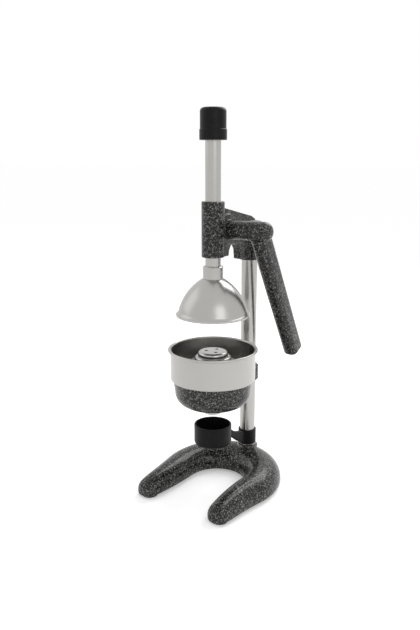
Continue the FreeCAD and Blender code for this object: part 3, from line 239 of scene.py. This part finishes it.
@dataclass(frozen=True)
class GranitePaint:
    """Black stove enamel full of grey and white flecks, under a glossy coat."""

    name: str = "granite_paint"
    ground: Colour = (0.003, 0.003, 0.0032)
    grey: Colour = (0.12, 0.118, 0.112)
    light: Colour = (0.42, 0.41, 0.39)
    blot: float = 0.0023
    fleck: float = 0.0013
    drift: float = 0.00621
    grey_shares: tuple[float, float, float] = (0.75, 0.3, 0.15)
    grey_edge: tuple[float, float] = (0.585, 0.70)
    light_shares: tuple[float, float] = (0.7, 0.4)
    light_edge: tuple[float, float] = (0.62, 0.71)
    relief_shares: tuple[float, float] = (0.6, 0.4)
    relief_depth: float = 0.0003
    relief_strength: float = 0.25
    gloss: tuple[float, float] = (0.24, 0.40)
    coat: float = 0.38
    coat_roughness: float = 0.10
    specular: float = 0.12

    def material(self) -> bpy.types.Material:
        """Build the material.

        Returns:
            The material.
        """
        shader = Shader(self.name)
        place = shader.place()
        blots = shader.noise(place, self.blot, 3.0, 0.62)
        flecks = shader.noise(place, self.fleck, 2.0, 0.55)
        drift = shader.noise(place, self.drift, 1.0)
        of_blots, of_flecks, of_drift = self.grey_shares
        grey = shader.step(blots * of_blots + flecks * of_flecks + drift * of_drift,
                           *self.grey_edge)
        of_flecks, of_blots = self.light_shares
        light = shader.step(flecks * of_flecks + blots * of_blots, *self.light_edge)
        colour = shader.mix(grey, self.ground, self.grey)
        colour = shader.mix(light, colour, self.light)
        of_blots, of_flecks = self.relief_shares
        relief = blots * of_blots + flecks * of_flecks
        return shader.finish({
            "Base Color": colour,
            "Roughness": shader.level(flecks, *self.gloss),
            "Normal": shader.bump(relief, self.relief_strength, self.relief_depth),
            "Coat Weight": self.coat, "Coat Roughness": self.coat_roughness,
            "Specular IOR Level": self.specular})


class Grain(Enum):
    """How the polishing marks run on a piece of steel."""

    TURNED = "turned"
    DRAWN = "drawn"
    PLAIN = "plain"


# How finely the marks follow each other along x, y and z, per metre
GRAIN_SCALES: dict[Grain, Point] = {
    Grain.TURNED: (60.0, 60.0, 6000.0),
    Grain.DRAWN: (5000.0, 5000.0, 25.0),
    Grain.PLAIN: (700.0, 700.0, 700.0)}


@dataclass(frozen=True)
class Steel:
    """Bare steel with fine polishing marks."""

    name: str
    colour: Colour
    roughness: float
    grain: Grain
    marks: float = 0.25
    mark_depth: float = 0.00006
    cloud: float = 0.03
    dulled: float = 0.93
    shares: tuple[float, float] = (0.6, 0.4)
    spread: tuple[float, float] = (0.8, 1.25)

    def material(self) -> bpy.types.Material:
        """Build the material.

        Returns:
            The material.
        """
        shader = Shader(self.name)
        place = shader.place()
        cloudy = shader.noise(place, self.cloud, 3.0)
        lines = shader.noise(shader.stretched(place, GRAIN_SCALES[self.grain]), 1.0, 4.0, 0.6)
        tint = shader.mix(cloudy, tuple(part * self.dulled for part in self.colour), self.colour)
        of_lines, of_clouds = self.shares
        smoother, rougher = self.spread
        rough = shader.level(lines * of_lines + cloudy * of_clouds,
                             self.roughness * smoother, self.roughness * rougher)
        return shader.finish({
            "Base Color": tint, "Metallic": 1.0, "Roughness": rough,
            "Normal": shader.bump(lines, self.marks, self.mark_depth)})


@dataclass(frozen=True)
class BlackMould:
    """Black rubber or plastic with a faint moulded skin."""

    name: str
    colour: Colour
    roughness: float
    skin: float = 0.0007
    skin_strength: float = 0.2
    skin_depth: float = 0.0001
    dust: float = 0.012
    dust_edge: tuple[float, float] = (0.45, 0.8)
    dusted: tuple[float, float] = (1.5, 0.003)
    spread: tuple[float, float] = (0.88, 1.1)
    specular: float = 0.15

    def material(self) -> bpy.types.Material:
        """Build the material.

        Returns:
            The material.
        """
        shader = Shader(self.name)
        place = shader.place()
        dust = shader.noise(place, self.dust, 4.0, 0.6)
        skin = shader.noise(place, self.skin, 2.0)
        factor, added = self.dusted
        tint = shader.mix(shader.step(dust, *self.dust_edge), self.colour,
                          tuple(part * factor + added for part in self.colour))
        smoother, rougher = self.spread
        return shader.finish({
            "Base Color": tint,
            "Roughness": shader.level(dust, self.roughness * smoother,
                                      self.roughness * rougher),
            "Normal": shader.bump(skin, self.skin_strength, self.skin_depth),
            "Specular IOR Level": self.specular})


FINISHES = {
    "granite_paint": GranitePaint(),
    "satin_steel": Steel("satin_steel", (0.44, 0.43, 0.415), 0.28, Grain.TURNED, 0.35),
    "polished_steel": Steel("polished_steel", (0.45, 0.445, 0.43), 0.24, Grain.TURNED, 0.2),
    "drawn_steel": Steel("drawn_steel", (0.45, 0.44, 0.42), 0.28, Grain.DRAWN, 0.25),
    # Steel for the foot ring: its darker colour is a painted reflection of the black stand around
    # it, not the steel's own tone
    "painted_reflection_steel": Steel("painted_reflection_steel", (0.24, 0.235, 0.23), 0.16, Grain.TURNED, 0.15),
    "machined_steel": Steel("machined_steel", (0.40, 0.40, 0.40), 0.35, Grain.TURNED),
    "zinc_steel": Steel("zinc_steel", (0.55, 0.56, 0.58), 0.33, Grain.PLAIN),
    "bronze": Steel("bronze", (0.55, 0.36, 0.17), 0.38, Grain.TURNED),
    "black_rubber": BlackMould("black_rubber", (0.006, 0.006, 0.0065), 0.38),
    "black_plastic": BlackMould("black_plastic", (0.004, 0.004, 0.004), 0.45),
}

# Nodes whose finish differs from that of their record slot
NODE_FINISHES = {"column_tube": "drawn_steel", "plunger_rack": "drawn_steel",
                 # The foot ring's darker steel is a painted dark reflection
                 "column_foot_ring": "painted_reflection_steel"}


@dataclass
class Dresser:
    """Gives the carried-over pieces their finishes and smooth shading."""

    weld: float = 0.000005
    crease: float = math.radians(32)

    def dress(self) -> dict[str, bpy.types.Material]:
        """Dress every carried-over piece.

        Returns:
            The materials by the names of their finishes.
        """
        materials = {name: finish.material() for name, finish in FINISHES.items()}
        slots = {part["node"]: part["material_slot"] for part in frame["record"]["subparts"]}
        for name, piece in frame["nodes"].items():
            finish = NODE_FINISHES.get(name, slots[name])
            piece.data.materials.clear()
            piece.data.materials.append(materials[finish])
            self.smooth(piece)
            log.info("%s: %s", name, finish)
        return materials

    def smooth(self, piece: bpy.types.Object) -> None:
        """Shade a piece smoothly between its sharp edges.

        Args:
            piece: The carried-over piece.
        """
        piece.data.shade_smooth()
        weld = piece.modifiers.new("weld", "WELD")
        weld.merge_threshold = self.weld
        split = piece.modifiers.new("creases", "EDGE_SPLIT")
        split.split_angle = self.crease


@dataclass(frozen=True)
class HeadCasting:
    """The bracket cast between guide tube and column, with its shaft barrel.

    Sizes are millimetres from the plunger's axis and the table.
    """

    web_thickness: float = 10.5
    web_outline: tuple[tuple[float, float], ...] = (
        (6.0, 325.2), (29.0, 324.4), (29.6, 331.0), (33.0, 337.0), (38.0, 340.0),
        (44.5, 340.0), (50.0, 336.5), (54.0, 330.0), (55.6, 317.0), (75.0, 315.0),
        (97.0, 318.0), (101.0, 350.0), (99.0, 362.0), (93.0, 369.0), (84.0, 373.6),
        (6.0, 391.0))
    guide_radius: float = 14.9
    guide_span: tuple[float, float] = (326.0, 397.4)
    column_setback: float = 88.0
    socket_radius: float = 15.8
    socket_span: tuple[float, float] = (313.0, 366.0)
    pinion_setback: float = 24.0
    pinion_height: float = 360.0
    barrel_radius: float = 12.4
    barrel_span: tuple[float, float] = (-18.6, 43.0)
    housing_radius: float = 20.2
    housing_half: float = 8.6
    grain: float = 0.75
    rounding: int = 9
    guide_bore: float = 12.0
    column_bore: float = 11.0
    column_roof: float = 352.0
    shaft_bore: float = 9.0
    gear_room_radius: float = 18.8
    gear_room_half: float = 7.2
    upright_reach: tuple[float, float] = (300.0, 420.0)
    shaft_reach: tuple[float, float] = (-60.0, 60.0)

    def build(self, axis: Vector, material: bpy.types.Material) -> bpy.types.Object:
        """Build the casting in place of the carried-over one.

        Args:
            axis: The foot of the plunger's axis, in metres.
            material: The casting's finish.

        Returns:
            The finished casting.
        """
        column = (0.0, self.column_setback)
        below = self.upright_reach[0]
        casting = cut_away(self.rough_casting(), [
            upright_bar((0.0, 0.0), self.guide_bore, self.upright_reach),
            upright_bar(column, self.column_bore, (below, self.column_roof)),
            self.cross_bar(self.shaft_bore, self.shaft_reach),
            self.cross_bar(self.gear_room_radius, (-self.gear_room_half, self.gear_room_half))])
        return finished_casting(casting, "head_bracket", axis, material, "head_casting")

    def rough_casting(self) -> bpy.types.Object:
        """Join the raw forms into one body with cast-on fillets.

        Returns:
            The body, in millimetres.
        """
        form = bmesh.new()
        self.add_web(form)
        low, high = self.guide_span
        add_round_bar(form, self.guide_radius, (0.0, 0.0, low), (0.0, 0.0, high))
        low, high = self.socket_span
        add_round_bar(form, self.socket_radius, (0.0, self.column_setback, low),
                      (0.0, self.column_setback, high))
        left, right = self.barrel_span
        start = (left, self.pinion_setback, self.pinion_height)
        add_round_bar(form, self.barrel_radius, start,
                      (right, self.pinion_setback, self.pinion_height))
        add_round_bar(form, self.housing_radius,
                      (-self.housing_half, self.pinion_setback, self.pinion_height),
                      (self.housing_half, self.pinion_setback, self.pinion_height))
        rough = piece_from(form, "head_rough")
        remesh = rough.modifiers.new("skin", "REMESH")
        remesh.mode = "VOXEL"
        remesh.voxel_size = self.grain
        soften = rough.modifiers.new("soften", "SMOOTH")
        soften.iterations = self.rounding
        return applied(rough)

    def add_web(self, form: bmesh.types.BMesh) -> None:
        """Add the flat web between guide tube and column.

        Args:
            form: The bmesh that gets it.
        """
        half = self.web_thickness / 2
        corners = [form.verts.new((-half, setback, height))
                   for setback, height in self.web_outline]
        face = form.faces.new(corners)
        grown = bmesh.ops.extrude_face_region(form, geom=[face])
        moved = [part for part in grown["geom"] if isinstance(part, bmesh.types.BMVert)]
        bmesh.ops.translate(form, vec=(self.web_thickness, 0.0, 0.0), verts=moved)
        bmesh.ops.recalc_face_normals(form, faces=form.faces)

    def cross_bar(self, radius: float, span: tuple[float, float]) -> bpy.types.Object:
        """Make a round bar that lies on the pinion shaft's axis.

        Args:
            radius: The bar's radius.
            span: Its two ends, to the side of the plunger's axis.

        Returns:
            The bar, in millimetres.
        """
        form = bmesh.new()
        add_round_bar(form, radius, (span[0], self.pinion_setback, self.pinion_height),
                      (span[1], self.pinion_setback, self.pinion_height))
        return piece_from(form, "cross_bar")


@dataclass(frozen=True)
class Station:
    """One cross-section of the stand's horseshoe."""

    centre: tuple[float, float]
    outward: tuple[float, float]
    half_width: float
    height: float


@dataclass(frozen=True)
class HorseshoeStand:
    """The hollow cast stand with its two smoothly swelling legs.

    Sizes are millimetres from the plunger's axis and the table.
    """

    legs: tuple[tuple[float, float, float, float], ...] = (
        (-81.5, 58.8, 5.0, 15.0), (-80.2, 58.8, 9.6, 20.0), (-75.4, 58.7, 14.0, 24.0),
        (-66.5, 58.6, 16.2, 26.4), (-48.0, 58.2, 17.8, 29.3), (-28.0, 58.6, 19.8, 31.2),
        (-8.0, 60.0, 21.6, 32.8))
    turn_setback: float = 9.5
    turn_radius: float = 39.4
    turns: tuple[tuple[float, float, float], ...] = (
        (0.0, 46.4, 33.2), (22.5, 50.3, 34.0), (45.0, 55.5, 34.8), (67.5, 60.6, 35.2),
        (90.0, 63.6, 35.2))
    segments: int = 28
    foot_fullness: float = 0.4
    skirt: float = 9.5
    low: float = 3.0
    wall: float = 5.5
    column_setback: float = 88.0
    boss_radius: float = 21.0
    ring_seat: float = 30.5
    ring_room: float = 16.2
    bolt_room: float = 12.6
    bolt_seat: float = 9.0
    bolt_bore: float = 5.3
    column_bottom: float = 13.0
    column_bore: float = 11.0
    pad_boss: float = 13.3
    pad_room: float = 11.2
    pad_seat: float = 4.6
    boss_reach: tuple[float, float] = (-40.0, 60.0)
    above: float = 60.0
    below: float = -10.0
    bolt_reach: tuple[float, float] = (0.0, 20.0)
    least_half_width: float = 0.8
    least_rise: float = 1.0

    def build(self, axis: Vector, material: bpy.types.Material) -> bpy.types.Object:
        """Build the stand in place of the carried-over one.

        Args:
            axis: The foot of the plunger's axis, in metres.
            material: The casting's finish.

        Returns:
            The finished stand.
        """
        hollow = self.loft(self.wall, self.low - 2 * self.skirt)
        pads = [self.pad_place(name, axis) for name in (
            "foot_pad_front_left", "foot_pad_front_right", "foot_pad_rear_left",
            "foot_pad_rear_right")]
        hollow = cut_away(hollow, [
            *(upright_bar(place, self.pad_boss, self.boss_reach) for place in pads),
            upright_bar((0.0, self.column_setback), self.boss_radius, self.boss_reach)])
        column = (0.0, self.column_setback)
        stand = cut_away(self.loft(0.0, self.low), [
            hollow,
            upright_bar(column, self.ring_room, (self.ring_seat, self.above)),
            upright_bar(column, self.column_bore, (self.column_bottom, self.above)),
            upright_bar(column, self.bolt_bore, self.bolt_reach),
            upright_bar(column, self.bolt_room, (self.below, self.bolt_seat)),
            *(upright_bar(place, self.pad_room, (self.below, self.pad_seat)) for place in pads)])
        return finished_casting(stand, "horseshoe_stand", axis, material, "base_casting")

    def pad_place(self, name: str, axis: Vector) -> tuple[float, float]:
        """Give the middle of a carried-over pad, in millimetres.

        Args:
            name: The pad's node.
            axis: The foot of the plunger's axis, in metres.

        Returns:
            The place from the plunger's axis.
        """
        low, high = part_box(name)
        return (((low.x + high.x) / 2 - axis.x) * MILLIMETRES_IN_METRE,
                ((low.y + high.y) / 2 - axis.y) * MILLIMETRES_IN_METRE)

    def stations(self) -> list[Station]:
        """List the cross-sections from the right toe round to the left toe.

        Returns:
            The cross-sections.
        """
        right = [Station((middle, setback), (1.0, 0.0), half, height)
                 for setback, middle, half, height in self.legs]
        for turn, width, height in self.turns:
            outward = (math.cos(math.radians(turn)), math.sin(math.radians(turn)))
            reach = self.turn_radius + width / 2
            right.append(Station((outward[0] * reach, self.turn_setback + outward[1] * reach),
                                 outward, width / 2, height))
        left = [Station((-spot.centre[0], spot.centre[1]), (-spot.outward[0], spot.outward[1]),
                        spot.half_width, spot.height) for spot in reversed(right[:-1])]
        return right + left

    def loft(self, inset: float, low: float) -> bpy.types.Object:
        """Bridge the cross-sections into one closed smooth body.

        Args:
            inset: How far the body lies inside the stand's skin.
            low: The height of its underside.

        Returns:
            The body, in millimetres.
        """
        form = bmesh.new()
        rings = [self.ring(form, station, inset, low) for station in self.stations()]
        for first, second in zip(rings, rings[1:]):
            bmesh.ops.bridge_loops(form, edges=first + second)
        bmesh.ops.holes_fill(form, edges=form.edges, sides=0)
        bmesh.ops.recalc_face_normals(form, faces=form.faces)
        body = piece_from(form, "loft")
        smooth = body.modifiers.new("smooth", "SUBSURF")
        smooth.levels = 2
        smooth.render_levels = 2
        return applied(body)

    def ring(self, form: bmesh.types.BMesh, station: Station, inset: float,
             low: float) -> list[bmesh.types.BMEdge]:
        """Draw one cross-section.

        Args:
            form: The bmesh that gets it.
            station: Where and how large it is.
            inset: How much smaller it is all round.
            low: The height of its underside.

        Returns:
            The edges of the closed ring.
        """
        made = bmesh.ops.create_circle(form, radius=1.0, segments=self.segments)
        half = max(station.half_width - inset, self.least_half_width)
        rise = max(station.height - inset, self.skirt + self.least_rise) - self.skirt
        for vert in made["verts"]:
            across, upward = vert.co.x, vert.co.y
            if upward < 0:
                across = math.copysign(abs(across) ** self.foot_fullness, across)
                upward = -abs(upward) ** self.foot_fullness
            across *= half
            height = self.skirt + upward * (rise if upward > 0 else self.skirt - low)
            vert.co = (station.centre[0] + station.outward[0] * across,
                       station.centre[1] + station.outward[1] * across, height)
        return list({edge for vert in made["verts"] for edge in vert.link_edges})


def upright_bar(centre: tuple[float, float], radius: float,
                span: tuple[float, float]) -> bpy.types.Object:
    """Make an upright round bar, in millimetres.

    Args:
        centre: Its place on the table.
        radius: Its radius.
        span: The heights of its two ends.

    Returns:
        The bar.
    """
    form = bmesh.new()
    add_round_bar(form, radius, (*centre, span[0]), (*centre, span[1]))
    return piece_from(form, "upright_bar")


def cut_away(solid: bpy.types.Object, tools: list[bpy.types.Object]) -> bpy.types.Object:
    """Cut tools out of a body and clear them away.

    Args:
        solid: The body.
        tools: The cutting forms.

    Returns:
        The body with its hollows.
    """
    for tool in tools:
        difference = solid.modifiers.new(tool.name, "BOOLEAN")
        difference.operation = "DIFFERENCE"
        difference.solver = "EXACT"
        difference.object = tool
    finished = applied(solid)
    for tool in tools:
        discard(tool)
    return finished


def finished_casting(casting: bpy.types.Object, name: str, axis: Vector,
                     material: bpy.types.Material, node: str) -> bpy.types.Object:
    """Put a casting in its place, painted, instead of a carried-over node.

    Args:
        casting: The casting, in millimetres from the plunger's axis.
        name: Its new name.
        axis: The foot of the plunger's axis, in metres.
        material: The paint.
        node: The node that it stands for.

    Returns:
        The casting.
    """
    casting.data.transform(Matrix.Translation(axis) @ Matrix.Scale(1.0 / MILLIMETRES_IN_METRE, 4))
    casting.data.materials.clear()
    casting.data.materials.append(material)
    casting.name = name
    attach(casting, "stand")
    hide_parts(node)
    return casting


def add_round_bar(form: bmesh.types.BMesh, radius: float, start: Point, end: Point) -> None:
    """Add a round bar between two points.

    Args:
        form: The bmesh that gets it.
        radius: The bar's radius.
        start: The middle of its first end.
        end: The middle of its second end.
    """
    axis = Vector(end) - Vector(start)
    turn = axis.to_track_quat("Z", "Y").to_matrix().to_4x4()
    place = Matrix.Translation((Vector(start) + Vector(end)) / 2) @ turn
    bmesh.ops.create_cone(form, cap_ends=True, segments=ROUND_BAR_SIDES, radius1=radius,
                          radius2=radius, depth=axis.length, matrix=place)


def applied(piece: bpy.types.Object) -> bpy.types.Object:
    """Apply every modifier of a piece.

    Args:
        piece: The piece, which is cleared away.

    Returns:
        A new piece with the finished mesh.
    """
    bpy.context.view_layer.update()
    graph = bpy.context.evaluated_depsgraph_get()
    mesh = bpy.data.meshes.new_from_object(piece.evaluated_get(graph))
    finished = bpy.data.objects.new(piece.name, mesh)
    bpy.context.scene.collection.objects.link(finished)
    discard(piece)
    return finished


def discard(piece: bpy.types.Object) -> None:
    """Clear away a helper object."""
    bpy.data.objects.remove(piece, do_unlink=True)


@dataclass(frozen=True)
class Softbox:
    """A soft lamp that points at the middle of the press."""

    name: str
    place: Point
    size: float
    power: float


@dataclass
class Studio:
    """The camera, the soft lamps, the pale floor and the white room."""

    camera_place: Vector
    camera_turn: float = math.radians(35.82)
    camera_tilt: float = math.radians(13.41)
    lens: float = 37.83
    sight: float = 100.0
    floor_reach: float = 30.0
    floor_colour: Colour = (0.74, 0.735, 0.73)
    floor_seen: Colour = (0.99, 0.99, 0.99)
    floor_glow: float = 0.34
    room_light: float = 0.66
    aim: Point = (0.0, 0.0, 0.2)
    softboxes: tuple[Softbox, ...] = (
        Softbox("key_lamp", (1.35, -0.75, 0.95), 0.9, 2.6),
        Softbox("back_lamp", (0.10, 0.95, 1.20), 0.9, 9.0),
        Softbox("left_lamp", (-1.35, -0.55, 1.0), 1.1, 1.8))

    def build(self) -> None:
        """Build the whole studio."""
        self.add_camera()
        self.add_floor()
        self.add_room()
        for softbox in self.softboxes:
            self.add_lamp(softbox)

    def add_camera(self) -> None:
        """Set the camera at the photograph's viewing angle."""
        data = bpy.data.cameras.new("camera")
        data.lens = self.lens
        data.sensor_width = SENSOR_WIDTH
        data.clip_end = self.sight
        camera = bpy.data.objects.new("camera", data)
        camera.location = self.camera_place
        camera.rotation_euler = (math.radians(90) - self.camera_tilt, 0.0, self.camera_turn)
        bpy.context.scene.collection.objects.link(camera)
        bpy.context.scene.camera = camera

    def add_floor(self) -> None:
        """Lay the pale floor, which looks white where no shadow falls on it."""
        shader = Shader("floor")
        seen = shader.seen_as_background()
        paper = shader.node("ShaderNodeBsdfDiffuse", None, {
            "Color": shader.mix(seen, self.floor_colour, self.floor_seen)})
        glow = shader.node("ShaderNodeEmission", None, {
            "Color": (1.0, 1.0, 1.0, 1.0),
            "Strength": shader.level(seen, 0.0, self.floor_glow)})
        surface = shader.node("ShaderNodeAddShader")
        shader.tree.links.new(paper.outputs[0], surface.inputs[0])
        shader.tree.links.new(glow.outputs[0], surface.inputs[1])
        shader.output(surface)
        form = bmesh.new()
        bmesh.ops.create_grid(form, x_segments=1, y_segments=1, size=self.floor_reach)
        floor = piece_from(form, "floor", shader.material)

    def add_room(self) -> None:
        """Light the room evenly, white where it is seen."""
        world = bpy.data.worlds.new("room")
        bpy.context.scene.world = world
        shader = Shader("room", world)
        seen = shader.seen_as_background()
        glow = shader.node("ShaderNodeBackground", None, {
            "Color": (1.0, 1.0, 1.0, 1.0), "Strength": shader.level(seen, self.room_light, 1.0)})
        shader.output(glow)

    def add_lamp(self, softbox: Softbox) -> None:
        """Hang one soft lamp.

        Args:
            softbox: The lamp to hang.
        """
        data = bpy.data.lights.new(softbox.name, "AREA")
        data.size = softbox.size
        data.energy = softbox.power
        lamp = bpy.data.objects.new(softbox.name, data)
        lamp.location = softbox.place
        aim = Vector(self.aim) - Vector(softbox.place)
        lamp.rotation_euler = aim.to_track_quat("-Z", "Y").to_euler()
        bpy.context.scene.collection.objects.link(lamp)


def piece_from(form: bmesh.types.BMesh, name: str,
               material: bpy.types.Material | None = None) -> bpy.types.Object:
    """Turn a finished bmesh into an object with one material.

    Args:
        form: The bmesh, which is freed.
        name: The object's name.
        material: Its material, if it has one yet.

    Returns:
        The new object.
    """
    mesh = bpy.data.meshes.new(name)
    form.to_mesh(mesh)
    form.free()
    if material:
        mesh.materials.append(material)
    piece = bpy.data.objects.new(name, mesh)
    bpy.context.scene.collection.objects.link(piece)
    return piece


def plunger_axis() -> Vector:
    """Give the foot of the plunger's axis on the table.

    Returns:
        The point, in metres.
    """
    low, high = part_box("pressing_dome")
    return Vector(((low.x + high.x) / 2, (low.y + high.y) / 2, 0.0))


def main() -> None:
    """Dress the press and set up the studio."""
    logging.basicConfig(level=logging.INFO)
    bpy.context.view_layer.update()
    dresser = Dresser()
    materials = dresser.dress()
    axis = plunger_axis()
    for maker in (HeadCasting(), HorseshoeStand()):
        casting = maker.build(axis, materials["granite_paint"])
        dresser.smooth(casting)
        log.info("%s: %d faces", casting.name, len(casting.data.polygons))
    Studio(axis + Vector(CAMERA_FROM_AXIS)).build()
    bpy.context.scene.view_settings.view_transform = "Standard"


if __name__ == "__main__":
    main()
